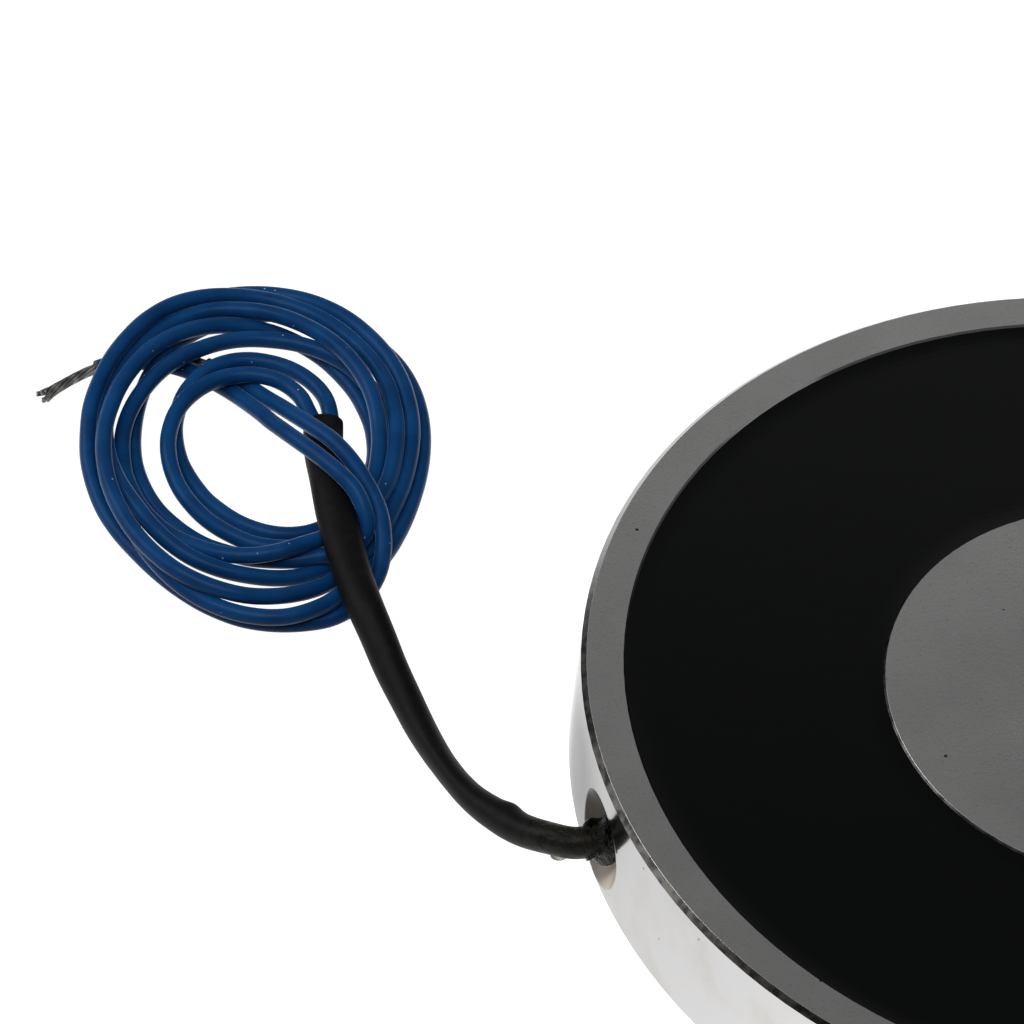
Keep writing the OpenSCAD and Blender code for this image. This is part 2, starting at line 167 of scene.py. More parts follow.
SECOND_END = [
    (-50.8, 27.45, 1), (-49.45, 27.95, 1.4), (-48.3, 28.8, 1.85), (-47.4, 29.9, 2.35),
    (-46.8, 31.2, 2.85), (-46.45, 32.55, 3.3), (-46.3, 34, 3.75), (-46.45, 35.45, 4.2),
    (-46.75, 36.85, 4.55), (-47.15, 38.3, 4.85), (-47.65, 39.7, 5), (-48.2, 41.1, 4.9),
    (-48.8, 42.45, 4.6), (-49.35, 43.8, 4.2), (-49.85, 45.15, 3.7), (-50.3, 46.45, 3.2),
    (-50.75, 47.8, 2.6), (-51.2, 49.1, 2.1), (-51.75, 50.45, 1.65), (-52.4, 51.75, 1.25),
    (-53.2, 53, 0.95), (-53.9, 53.85, 0.85),
]

# Bare strands of both leads, from inside the insulation to the tip
FIRST_BARE = [
    (-60.8, 55.72, 0.64), (-62, 55.52, 0.65), (-63.2, 55.16, 0.66), (-64.6, 54.58, 0.66),
    (-66, 53.93, 0.62), (-67.2, 53.3, 0.6),
]
SECOND_BARE = [
    (-53.2, 53, 0.95), (-53.9, 53.85, 0.85), (-55.1, 55.05, 0.65), (-56.5, 56, 0.5),
    (-58, 56.8, 0.48),
]
print("routes:", len(SLEEVE_ROUTE), "points of the sleeve,", len(FIRST_RADII), "and",
      len(SECOND_RADII), "stations of the leads")

# %% [markdown]
# ## From tables to smooth curves
# A Catmull-Rom curve goes through every point it is given, so the tables can be read
# straight off the finished coil. Its points are then spaced evenly along the length,
# which keeps the tube's rings square to its run.

# %% Smooth curves
# Step along each span of a curve, as a share of it, and millimetres between its even points
CURVE_STEP = 0.1
SLEEVE_SPACING, LEAD_SPACING = 0.2, 0.5


def coil_points(start, radii, heights):
    """Points of a lead's turns, in millimetres, from a radius and a height per station."""
    points = []
    for i, (radius, height) in enumerate(zip(radii, heights)):
        angle = math.radians(start + STATION_STEP * i)
        x = COIL_AT[0] + radius * math.cos(angle)
        y = COIL_AT[1] + radius * math.sin(angle)
        points.append((x, y, max(height, LEAD_LOW)))
    return points


def running_length(path):
    """Distance along a path, from its start to each of its points."""
    return np.r_[0, np.cumsum(np.linalg.norm(np.diff(path, axis=0), axis=1))]


def smooth_path(points, spacing):
    """Even points, in metres, on one smooth curve through points in millimetres."""
    p = np.array(points, float)
    p = np.vstack([2 * p[0] - p[1], p, 2 * p[-1] - p[-2]])
    fine = []
    for a, b, c, d in zip(p[:-3], p[1:-2], p[2:-1], p[3:]):
        for t in np.arange(0, 1, CURVE_STEP):
            fine.append(0.5 * (2 * b + (c - a) * t + (2 * a - 5 * b + 4 * c - d) * t**2
                               + (3 * b - a - 3 * c + d) * t**3))
    fine = np.array(fine + [p[-2]])
    run = running_length(fine)
    even = np.linspace(0, run[-1], int(run[-1] / spacing) + 1)
    return np.column_stack([np.interp(even, run, fine[:, k]) for k in range(3)]) * MM


sleeve_path = smooth_path(SLEEVE_ROUTE, SLEEVE_SPACING)
first_turns = coil_points(FIRST_START, FIRST_RADII, FIRST_HEIGHTS)
first_path = smooth_path(FIRST_ROOT + first_turns + FIRST_END, LEAD_SPACING)
second_turns = coil_points(SECOND_START, SECOND_RADII, SECOND_HEIGHTS)
second_path = smooth_path(SECOND_ROOT + second_turns + SECOND_END, LEAD_SPACING)

# %% [markdown]
# ## Tools for materials
# Every finish is one Principled shader with procedural detail on it. Colours are written as
# the sRGB codes one reads off a screen, and turned into the linear values that light adds up
# in. One function adds a node of any kind, with its settings and links. The others put
# several nodes together into something one can see: cloudy patches, small specks, layers
# over one another and an uneven surface. Patterns use object coordinates, which are metres
# here, so a pattern's scale is simply one over its size.

# %% Material tools
# Detail of a pattern unless it says otherwise, and the share of a speck that is fully solid
DETAIL = 3.0
SPECK_CORE = 0.5


def linear(code):
    """Linear RGBA of an sRGB hex code."""
    values = [int(code[i:i + 2], 16) / 255 for i in (0, 2, 4)]
    return [v / 12.92 if v <= 0.04045 else ((v + 0.055) / 1.055) ** 2.4 for v in values] + [1.0]


def feed(node, inputs):
    """Set a node's inputs: each is a value, or a socket or node to link from."""
    for key, value in inputs.items():
        if isinstance(value, bpy.types.Node):
            value = next(socket for socket in value.outputs if socket.enabled)
        if isinstance(value, bpy.types.NodeSocket):
            node.id_data.links.new(value, node.inputs[key])
        else:
            node.inputs[key].default_value = value


def add_node(tree, kind, inputs=None, **settings):
    """Add a node with its settings and inputs."""
    made = tree.nodes.new(kind)
    for key, value in settings.items():
        setattr(made, key, value)
    feed(made, inputs or {})
    return made


def new_finish(name, code, roughness, metallic=0.0):
    """Material with a plain Principled shader; gives it with its tree, shader and coordinates."""
    material = bpy.data.materials.new(name)
    material.use_nodes = True
    tree = material.node_tree
    shader = tree.nodes["Principled BSDF"]
    feed(shader, {"Base Color": linear(code), "Roughness": roughness, "Metallic": metallic})
    place = add_node(tree, "ShaderNodeTexCoord").outputs["Object"]
    return material, tree, shader, place


def patches(tree, place, size_mm, low, high, detail=DETAIL):
    """Mask of cloudy patches: 0 where the noise is below low, 1 above high."""
    cloud = add_node(tree, "ShaderNodeTexNoise",
                     {"Vector": place, "Scale": 1 / (size_mm * MM), "Detail": detail})
    return add_node(tree, "ShaderNodeMapRange",
                    {"Value": cloud, "From Min": low, "From Max": high},
                    interpolation_type="SMOOTHSTEP")


def specks(tree, place, apart_mm, size_mm, share):
    """Mask of small round spots, one in some of the cells that are apart_mm wide."""
    cells = add_node(tree, "ShaderNodeTexVoronoi", {"Vector": place, "Scale": 1 / (apart_mm * MM)})
    edge = size_mm / apart_mm / 2
    spot = add_node(tree, "ShaderNodeMapRange",
                    {"Value": cells, "From Min": edge, "From Max": edge * SPECK_CORE},
                    interpolation_type="SMOOTHSTEP")
    dice = add_node(tree, "ShaderNodeSeparateColor", {"Color": cells.outputs["Color"]})
    chosen = add_node(tree, "ShaderNodeMath", {0: dice, 1: share}, operation="LESS_THAN")
    return add_node(tree, "ShaderNodeMath", {0: spot, 1: chosen}, operation="MULTIPLY")


def layered(tree, base, *layers, kind="RGBA"):
    """Colour or value with layers over it, each a mask and what shows where the mask is 1."""
    # Places of the inputs A and B: the node has a pair of them for each kind
    under, over = (6, 7) if kind == "RGBA" else (2, 3)
    for mask, layer in layers:
        base = add_node(tree, "ShaderNodeMix", {0: mask, under: base, over: layer}, data_type=kind)
    return base


def uneven(tree, shader, place, size_mm, depth_mm, detail=DETAIL):
    """Let a surface rise and fall at random by a depth."""
    height = add_node(tree, "ShaderNodeTexNoise",
                      {"Vector": place, "Scale": 1 / (size_mm * MM), "Detail": detail})
    relief = add_node(tree, "ShaderNodeBump", {"Height": height, "Distance": depth_mm * MM})
    feed(shader, {"Normal": relief})


print("material tools: patches, specks, layers, unevenness")

# %% [markdown]
# ## Blue insulation
# The leads are thin extruded PVC: deep blue, satin, and a little dusty. The eye gets a soft
# body colour, a bright line along each edge where the gloss mirrors the white table, and a
# few pale specks of dust.

# %% Blue insulation
INSULATION_BLUE, BLUE_DARK, BLUE_LIGHT = "0b3e71", "093868", "0e4377"
EDGE_BLUE = "9cc4ff"
DUST_GREY = "9fb4cc"

insulation, tree, shader, place = new_finish("blue_pvc_insulation_satin", INSULATION_BLUE, 0.4)
mottle = patches(tree, place, size_mm=3.0, low=0.35, high=0.65)
dust = specks(tree, place, apart_mm=0.8, size_mm=0.16, share=0.2)
feed(shader, {
    "Base Color": layered(tree, linear(BLUE_DARK), (mottle, linear(BLUE_LIGHT)),
                          (dust, linear(DUST_GREY))),
    "Specular IOR Level": 0.06,
    "Sheen Weight": 1.0, "Sheen Roughness": 0.25, "Sheen Tint": linear(EDGE_BLUE),
    # A thin slick skin, which shows only where one looks along the surface
    "Coat Weight": 0.4, "Coat Roughness": 0.1, "Coat IOR": 1.15,
})
uneven(tree, shader, place, size_mm=0.5, depth_mm=0.006)
print("made", insulation.name)

# %% [markdown]
# ## The two leads
# A round wire is a circle carried along a path, so one small Geometry Nodes tree makes all
# of them: it turns a line of points into a curve and sweeps a circle along it. Its inputs
# are the wire's radius, its number of sides and its finish, so the same tree serves the
# leads and the strands. The result is kept as a plain mesh.

# %% Leads
LEAD_SIDES = 24


def wire_tree():
    """Geometry Nodes tree that sweeps a round wire along lines of points."""
    tree = bpy.data.node_groups.new("round_wire_on_path", "GeometryNodeTree")
    sockets = {}
    for name, kind in (("Path", "Geometry"), ("Radius", "Float"), ("Sides", "Int"),
                       ("Finish", "Material")):
        made = tree.interface.new_socket(name, in_out="INPUT", socket_type="NodeSocket" + kind)
        sockets[name] = made.identifier
    tree.interface.new_socket("Wire", in_out="OUTPUT", socket_type="NodeSocketGeometry")
    given = tree.nodes.new("NodeGroupInput").outputs
    curve = add_node(tree, "GeometryNodeMeshToCurve", {"Mesh": given["Path"]})
    circle = add_node(tree, "GeometryNodeCurvePrimitiveCircle",
                      {"Resolution": given["Sides"], "Radius": given["Radius"]})
    swept = add_node(tree, "GeometryNodeCurveToMesh",
                     {"Curve": curve.outputs[0], "Profile Curve": circle.outputs["Curve"],
                      "Fill Caps": True})
    real = add_node(tree, "GeometryNodeRealizeInstances", {"Geometry": swept.outputs[0]})
    done = add_node(tree, "GeometryNodeSetMaterial",
                    {"Geometry": real.outputs[0], "Material": given["Finish"]})
    add_node(tree, "NodeGroupOutput", {"Wire": done.outputs[0]})
    return tree, sockets


WIRE_TREE, WIRE_INPUT = wire_tree()


def wires(name, paths, radius, sides, material):
    """One mesh of round wires along some paths."""
    points, edges = [], []
    for path in paths:
        edges += [(len(points) + i, len(points) + i + 1) for i in range(len(path) - 1)]
        points += [tuple(p) for p in path]
    lines = bpy.data.meshes.new(name + "_lines")
    lines.from_pydata(points, edges, [])
    source = add_object(name + "_lines", lines)
    swept = source.modifiers.new("wire", "NODES")
    swept.node_group = WIRE_TREE
    swept[WIRE_INPUT["Radius"]] = radius
    swept[WIRE_INPUT["Sides"]] = sides
    swept[WIRE_INPUT["Finish"]] = material
    seen = source.evaluated_get(bpy.context.evaluated_depsgraph_get())
    mesh = bpy.data.meshes.new_from_object(seen)
    mesh.name = name
    mesh.shade_smooth()
    source.modifiers.remove(swept)
    bpy.data.objects.remove(source)
    bpy.data.meshes.remove(lines)
    return add_object(name, mesh)


first_lead = wires("first_lead", [first_path], LEAD_D / 2, LEAD_SIDES, insulation)
second_lead = wires("second_lead", [second_path], LEAD_D / 2, LEAD_SIDES, insulation)
print("leads:", len(first_lead.data.polygons) + len(second_lead.data.polygons), "faces")

# %% [markdown]
# ## Bare strands
# The last few millimetres of each lead are stripped. A dozen tinned strands lie in two rings,
# twisted a little, and fan out towards the tip, where no two are quite the same length. Each
# strand is a helix round the bundle's path, so a loop with a fixed seed makes them all.

# %% Bare strands
STRAND_D = 0.2 * MM
STRAND_SIDES = 8
STRAND_SPACING = 0.2
# Number of strands in each ring of the bundle, and the ring's radius in millimetres
STRAND_RINGS = [(3, 0.11), (9, 0.3)]
TWIST_MM = 9.0
# Where along the bare length the strands begin to fan out, and by how many millimetres
FAN_FROM = 0.55
FIRST_FAN, SECOND_FAN = 0.34, 0.1
# Least and most of each strand's length, of its share in the fan, and of its own turn
REACH, STRAY, OWN_TURN = (0.9, 1.0), (0.2, 1.0), (-0.15, 0.15)
STRAND_SEED = 7
TIN_PLAIN, TIN_GRIMY, TIN_CLEAN = "9a9996", "6e6c69", "aeada9"

# Tinned copper, handled: a dull grey metal with darker grimy patches
strand_metal, tree, shader, place = new_finish("tinned_copper_strands_dull", TIN_PLAIN, 0.42, 0.8)
clean = patches(tree, place, size_mm=0.7, low=0.35, high=0.7)
feed(shader, {"Base Color": layered(tree, linear(TIN_GRIMY), (clean, linear(TIN_CLEAN)))})


def carried_frames(path, toward):
    """Heading at each point, and two directions across it; the first lies across toward."""
    heading = np.gradient(path, axis=0)
    heading /= np.linalg.norm(heading, axis=1)[:, None]
    across = np.cross(heading, toward)
    across /= np.linalg.norm(across, axis=1)[:, None]
    return heading, across, np.cross(across, heading)


def strand_paths(route, fan, rng):
    """Lightly twisted strands round a route, fanned out by some millimetres at the tip."""
    path = smooth_path(route, STRAND_SPACING)
    run = running_length(path) / MM
    _, across, above = carried_frames(path, (0, 0, 1))
    strands = []
    for radius, turn in [(r, k / count) for count, r in STRAND_RINGS for k in range(count)]:
        reach = rng.uniform(*REACH)
        stray = rng.uniform(*STRAY) * fan
        keep = run <= reach * run[-1]
        share = run[keep] / run[-1]
        angle = 2 * math.pi * (turn + run[keep] / TWIST_MM) + rng.uniform(*OWN_TURN)
        fanned = np.clip((share - FAN_FROM) / (1 - FAN_FROM), 0, 1) ** 2
        spread = (radius + stray * fanned) * MM
        line = path[keep] + (spread * np.cos(angle))[:, None] * across[keep]
        line += (spread * np.sin(angle))[:, None] * above[keep]
        # No strand sinks into the table
        line[:, 2] = np.maximum(line[:, 2], STRAND_D / 2)
        strands.append(line)
    return strands


rng = np.random.default_rng(STRAND_SEED)
first_strands = strand_paths(FIRST_BARE, FIRST_FAN, rng)
second_strands = strand_paths(SECOND_BARE, SECOND_FAN, rng)
first_bare = wires("first_bare_strands", first_strands, STRAND_D / 2, STRAND_SIDES,
                   strand_metal)
second_bare = wires("second_bare_strands", second_strands, STRAND_D / 2, STRAND_SIDES,
                    strand_metal)
print("strands:", len(first_strands), "and", len(second_strands))

# %% [markdown]
# ## Tubing finish
# Black shrink tubing is a matt plastic with fine scuffs. Near the exit, glue was smeared over
# it in brownish, glossier blotches. How much of it lies where is told by a value on each
# point of the sleeve's mesh, which the material reads as an attribute.

# %% Tubing finish
TUBING_PLAIN, TUBING_BLACK, TUBING_SCUFFED, SMEAR_BROWN = "111112", "070708", "0f0f10", "1a1912"
TUBING_ROUGH, SMEAR_ROUGH = 0.52, 0.4
# Size of the smear's lumps and of the tubing's grain, the grain's share, and the depth
SMEAR_LUMP_MM, GRAIN_MM, GRAIN_SHARE, RELIEF_MM = 0.8, 0.25, 0.15, 0.12

tubing, tree, shader, place = new_finish("black_shrink_tubing_matt", TUBING_PLAIN, TUBING_ROUGH)
scuff = patches(tree, place, size_mm=0.9, low=0.45, high=0.75, detail=5.0)
near_exit = add_node(tree, "ShaderNodeAttribute", attribute_name="smear").outputs["Fac"]
blotches = patches(tree, place, size_mm=1.1, low=0.3, high=0.55)
smeared = add_node(tree, "ShaderNodeMath", {0: near_exit, 1: blotches}, operation="MULTIPLY")
coarse, fine = [
    add_node(tree, "ShaderNodeTexNoise",
             {"Vector": place, "Scale": 1 / (size * MM), "Detail": DETAIL})
    for size in (SMEAR_LUMP_MM, GRAIN_MM)]
lumps = add_node(tree, "ShaderNodeMath", {0: smeared, 1: coarse}, operation="MULTIPLY")
height = add_node(tree, "ShaderNodeMath", {0: fine, 1: GRAIN_SHARE, 2: lumps},
                  operation="MULTIPLY_ADD")
feed(shader, {
    "Base Color": layered(tree, linear(TUBING_BLACK), (scuff, linear(TUBING_SCUFFED)),
                          (smeared, linear(SMEAR_BROWN))),
    "Roughness": layered(tree, TUBING_ROUGH, (smeared, SMEAR_ROUGH), kind="FLOAT"),
    "Specular IOR Level": 0.13,
    "Normal": add_node(tree, "ShaderNodeBump", {"Height": height, "Distance": RELIEF_MM * MM}),
})
print("made", tubing.name)

# %% [markdown]
# ## Shrunk sleeve
# Shrink tubing over two leads is an oval, and here it turns as it runs: broad side up on
# the coil, narrow side up where it lies on the table. So each ring of the tube is an ellipse.
# Its width across the view was measured in the photograph, and its depth follows, because the
# girth of the tubing doesn't change. The mouth is a real one, with a wall and a hollow.

# %% Shrunk sleeve
# Distance along the sleeve, and half of its width there, in millimetres
SLEEVE_HALF_WIDTHS = [
    (0, 1.18), (4, 1.17), (6, 1.17), (8, 1.2), (10, 1.22), (12, 1.16), (14, 1.04), (16, 0.98),
    (18, 0.99), (20, 1.07), (22, 1.15), (24, 1.2), (26, 1.25), (28, 1.29), (30, 1.32), (32, 1.36),
    (36, 1.43), (40, 1.49), (53, 1.5),
]
# Sum of the squares of the half width and the half depth, which keeps the girth
SLEEVE_GIRTH = 1.5**2 + 0.97**2
# Wall at the mouth, how much the hollow narrows inwards, and how deep it is
SLEEVE_WALL, MOUTH_TAPER, MOUTH_DEPTH = 0.22, 0.03, 1.0
# Lump under the tubing: place along the sleeve, length, height, and angle round it
LUMP_AT, LUMP_LENGTH, LUMP_HEIGHT, LUMP_ANGLE = 10.2, 0.9, 0.2, math.pi
SLEEVE_SIDES = 40
# Glue was smeared over the first few millimetres outside the wall
SMEAR_END, SMEAR_FADE = 8.5, 2.5


def grid_mesh(name, rings, material):
    """Smooth closed mesh through rings of points that all have the same number of points."""
    sides = len(rings[0])
    last = (len(rings) - 1) * sides
    points = [tuple(p) for ring in rings for p in ring]
    faces = []
    for i in range(len(rings) - 1):
        for k in range(sides):
            a, b = i * sides + k, i * sides + (k + 1) % sides
            faces.append((a, b, b + sides, a + sides))
    faces.append(tuple(range(sides - 1, -1, -1)))
    faces.append(tuple(range(last, last + sides)))
    mesh = bpy.data.meshes.new(name)
    mesh.from_pydata(points, [], faces)
    mesh.validate()
    mesh.update()
    mesh.shade_smooth()
    mesh.materials.append(material)
    return add_object(name, mesh)


def sleeve_ring(at, here, across, above, inset=0.0):
    """Ring of the sleeve at a distance along it, in millimetres."""
    width = np.interp(at, *zip(*SLEEVE_HALF_WIDTHS))
    depth = math.sqrt(SLEEVE_GIRTH - width**2)
    lump_here = LUMP_HEIGHT * math.exp(-((at - LUMP_AT) / LUMP_LENGTH) ** 2)
    ring = []
    for k in range(SLEEVE_SIDES):
        # Clockwise about the heading, so that the faces point outwards
        a = -2 * math.pi * k / SLEEVE_SIDES
        lump = lump_here * max(0, math.cos(a - LUMP_ANGLE)) ** 2
        x = (width - inset + lump) * math.cos(a)
        y = (depth - inset) * math.sin(a)
        point = here + (x * across + y * above) * MM
        # The table flattens the soft tubing where it lies on it
        point[2] = max(point[2], 0)
        ring.append(point)
    return ring


run = running_length(sleeve_path) / MM
heading, across, above = carried_frames(sleeve_path, VIEW)
rings = [sleeve_ring(*row) for row in zip(run, sleeve_path, across, above)]
mouth = (run[-1], sleeve_path[-1], across[-1], above[-1])
rings.append(sleeve_ring(*mouth, inset=SLEEVE_WALL))
deep = (mouth[0], mouth[1] - heading[-1] * MOUTH_DEPTH * MM, *mouth[2:])
rings.append(sleeve_ring(*deep, inset=SLEEVE_WALL + MOUTH_TAPER))
sleeve = grid_mesh("shrunk_sleeve", rings, tubing)

smear = sleeve.data.attributes.new("smear", "FLOAT", "POINT")
at = np.repeat(np.r_[run, run[-1], run[-1]], SLEEVE_SIDES)
smear.data.foreach_set("value", np.clip((SMEAR_END - at) / SMEAR_FADE, 0, 1).astype(np.float32))
print("sleeve:", len(sleeve.data.polygons), "faces")

# %% [markdown]
# The sleeve and the leads take the place of their plain CAD solids.

# %% Cords
for piece in (sleeve, first_lead, second_lead, first_bare, second_bare):
    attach(piece, "root")
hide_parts("lead_sleeve")
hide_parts("lead_coil")
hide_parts("bare_end")

# %% [markdown]
# ## Glue at the exit
# Black glue was pushed into the countersunk hole by hand, so it is lumpy and no two sides
# match. A turned profile gives its main shape, and a smooth random push along each ring's
# radius breaks it up. Set hot glue gives the eye a black skin with small glints.

# %% Exit glue
EXIT_Z = 4.0
# Place along X and radius of the glue's profile, in millimetres, from the groove outwards
GLUE_PROFILE = [
    (-36.85, 1.66), (-38, 1.68), (-38.4, 1.95), (-38.8, 1.9), (-39.2, 1.75), (-39.6, 1.62),
    (-40, 1.5), (-40.4, 1.38), (-40.8, 1.26), (-41.2, 1.12),
]
GLUE_RINGS, GLUE_SIDES = 60, 64
# Height of the lumps, where along X they begin, and over what length they grow
GLUE_LUMPS, LUMPS_FROM, LUMPS_GROW = 0.2, -38.2, 0.8
# Place along X where the countersink begins, its radius there, and its slope
CONE_FROM, CONE_R, CONE_SLOPE = -38, 1.68, 0.98
GLUE_WAVES, GLUE_SEED = 7, 3
# Least and most waves round a ring, and how fast they turn along X
WAVES_ROUND, WAVES_ALONG = (1, 7), (1.5, 5)
GLUE_PLAIN, GLUE_BLACK, GLUE_OLIVE = "0d0c0b", "040404", "1c1b12"

black_glue, tree, shader, place = new_finish("black_hot_glue_set", GLUE_PLAIN, 0.22)
olive = patches(tree, place, size_mm=0.9, low=0.45, high=0.75)
feed(shader, {
    "Base Color": layered(tree, linear(GLUE_BLACK), (olive, linear(GLUE_OLIVE))),
    "Specular IOR Level": 0.14,
})
uneven(tree, shader, place, size_mm=0.45, depth_mm=0.35, detail=5.0)


def random_waves(rng, count):
    """Smooth random function of an angle and a place, between about -1 and 1."""
    terms = [(rng.integers(*WAVES_ROUND), rng.uniform(*WAVES_ALONG), rng.uniform(0, 2 * math.pi))
             for _ in range(count)]
    return lambda angle, x: sum(math.sin(n * angle + f * x + p) for n, f, p in terms) / count**0.5


lumpy = random_waves(np.random.default_rng(GLUE_SEED), GLUE_WAVES)
profile_x, profile_r = zip(*GLUE_PROFILE)
glue_rings = []
for x in np.linspace(profile_x[0], profile_x[-1], GLUE_RINGS):
    radius = np.interp(-x, [-v for v in profile_x], profile_r)
    free = np.clip((LUMPS_FROM - x) / LUMPS_GROW, 0, 1)
    ring = []
    for k in range(GLUE_SIDES):
        # Clockwise, because the rings follow one another towards -X
        a = -2 * math.pi * k / GLUE_SIDES
        r = radius + GLUE_LUMPS * free * lumpy(a, x)
        # The cone of the countersink holds the glue in
        r = min(r, CONE_R + max(0, CONE_FROM - x) * CONE_SLOPE)
        ring.append(np.array((x, r * math.cos(a), EXIT_Z + r * math.sin(a))) * MM)
    glue_rings.append(ring)
glue = grid_mesh("exit_glue_lump", glue_rings, black_glue)
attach(glue, "root")
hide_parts("exit_glue")
print("glue:", len(glue.data.polygons), "faces")

# %% [markdown]
# ## Clear drop
# A pale drop of clear glue, yellowed a little, hangs under the sleeve just outside the wall.
# It is a flattened ball made of rings, and about half of the light goes through it.

# %% Clear drop
# Middle and half sizes of the drop, in millimetres
DROP_AT = np.array((-42.6, 0.5, 2.55))
DROP_HALF = np.array((0.75, 0.5, 0.5))
DROP_RINGS, DROP_SIDES = 16, 32

clear_glue, tree, shader, place = new_finish("clear_glue_yellowed", "e9e6cf", 0.25)
feed(shader, {"Transmission Weight": 0.55, "IOR": 1.45})
drop_rings = []
for i in range(1, DROP_RINGS):
    polar = math.pi * i / DROP_RINGS
    ring = []
    for k in range(DROP_SIDES):
        a = 2 * math.pi * k / DROP_SIDES
        way = np.array((math.sin(polar) * math.cos(a), math.sin(polar) * math.sin(a),
                        -math.cos(polar)))
        ring.append((DROP_AT + DROP_HALF * way) * MM)
    drop_rings.append(ring)
drop = grid_mesh("clear_glue_drop", drop_rings, clear_glue)
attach(drop, "root")
print("drop:", len(drop.data.polygons), "faces")

# %% [markdown]
# ## Steel pot: which finish lies where
# The CAD shape of the pot is right as it is, so only its finish is made here. The steel has
# two: the side is bright nickel, and the ring and the pole were ground after plating. One
# material holds both, with masks that come from the place of a point. Its height tells the
# ground faces, because only they lie at the very top, and its distance from the exit's axis
# tells the countersunk hole. Beside the hole the plating is painted darker, a painted shade,
# and the rim between side and ring is painted dark in front: painted shade over ragged
# wear.

# %% Steel regions
PLATE = "b5b4b4"
PLATE_ROUGH = 0.1
# Heights in millimetres above which the steel is ground, and above which it is the rim
GROUND_FROM, RIM_FROM = 9.985, 9.6
# Places along Y in metres where the rim's painted shade and wear end, and where they are full
RIM_SHADE_END, RIM_SHADE_FULL = 0.030, 0.012
# Radius of the countersink's rim, in millimetres
HOLE_R = 3.74
# Middle of the painted shade beside the hole, how far it reaches and where it is full, in metres
SHADE_BESIDE_HOLE_AT = (-0.0395, 0.007, 0.004)
SHADE_BESIDE_HOLE_END, SHADE_BESIDE_HOLE_FULL = 0.010, 0.002

steel, tree, shader, place = new_finish("nickel_plated_steel_ground_faces", PLATE, PLATE_ROUGH,
                                        metallic=1.0)
split = add_node(tree, "ShaderNodeSeparateXYZ", {"Vector": place}).outputs
ground, rim = [
    add_node(tree, "ShaderNodeMath", {0: split["Z"], 1: height * MM}, operation="GREATER_THAN")
    for height in (GROUND_FROM, RIM_FROM)]

# Distance from the exit's axis, on its own side of the pot
up = add_node(tree, "ShaderNodeMath", {0: split["Z"], 1: EXIT_Z * MM}, operation="SUBTRACT")
flat = add_node(tree, "ShaderNodeCombineXYZ", {"X": split["Y"], "Y": up})
away = add_node(tree, "ShaderNodeVectorMath", {0: flat}, operation="LENGTH")
inside = add_node(tree, "ShaderNodeMath", {0: away, 1: HOLE_R * MM}, operation="LESS_THAN")
exit_side = add_node(tree, "ShaderNodeMath", {0: split["X"], 1: 0.0}, operation="LESS_THAN")
hole = add_node(tree, "ShaderNodeMath", {0: inside, 1: exit_side}, operation="MULTIPLY")

# Painted shade: the plating beside the hole is darker and rougher
beside = add_node(tree, "ShaderNodeVectorMath", {0: place, 1: SHADE_BESIDE_HOLE_AT}, operation="DISTANCE")
shade_beside_hole = add_node(tree, "ShaderNodeMapRange",
                {"Value": beside, "From Min": SHADE_BESIDE_HOLE_END, "From Max": SHADE_BESIDE_HOLE_FULL},
                interpolation_type="SMOOTHSTEP")
# Painted shade: the rim is darker in front, with a ragged mottle of wear in it
front = add_node(tree, "ShaderNodeMapRange",
                 {"Value": split["Y"], "From Min": RIM_SHADE_END, "From Max": RIM_SHADE_FULL},
                 interpolation_type="SMOOTHSTEP")
shaded_worn = add_node(tree, "ShaderNodeMath", {0: rim, 1: front}, operation="MULTIPLY")
print("steel regions: ground faces, exit hole, haze, worn rim")

# %% [markdown]
# ## Steel pot: nickel plating
# Bright nickel gives the eye a mirror of the white table, with soft stains and small pits.
# The looks are laid over one another like coats: plate, stains, pits, painted shade beside
# the hole, the rim painted dark in front over ragged wear, and at last the hole, painted dark
# above and pale on its lower part, with duller metal there: painted reflections of the black
# sleeve and of the white table.

# %% Nickel plating
# The stains and pits are the plate's own; the grey beside the hole is painted shade
PLATE_DULL, PIT_BROWN, SHADE_BESIDE_HOLE_GREY = "aeaca8", "5c554a", "727070"
# Tones of the rim's painted shade in front, mottled with wear
RIM_SHADE_LIGHT, RIM_SHADE_DARK = "5a5856", "2d2c2b"
# Painted reflections in the hole: dark of the black sleeve above, pale of the white table below
HOLE_PAINTED_DARK_REFLECTION, HOLE_PAINTED_PALE_REFLECTION = "3c3936", "d9cfc2"
SHADE_BESIDE_HOLE_ROUGH, HOLE_ROUGH, RIM_SHADE_ROUGH = 0.25, 0.34, 0.3
# Way up the hole's slope, and the places along it in metres where the pale painted reflection ends
# and is full
PAINTED_REFLECTION_UP = (0.0, 0.72, 0.67)
PALE_REFLECTION_END, PALE_REFLECTION_FULL = 0.0034, 0.0012
# Less metal where the pale reflection is painted, so that its colour shows
PALE_REFLECTION_METALLIC = 0.4

stain = patches(tree, place, size_mm=4.0, low=0.45, high=0.8, detail=4.0)
pits = specks(tree, place, apart_mm=2.0, size_mm=0.26, share=0.7)
ragged = patches(tree, place, size_mm=1.0, low=0.35, high=0.65, detail=5.0)
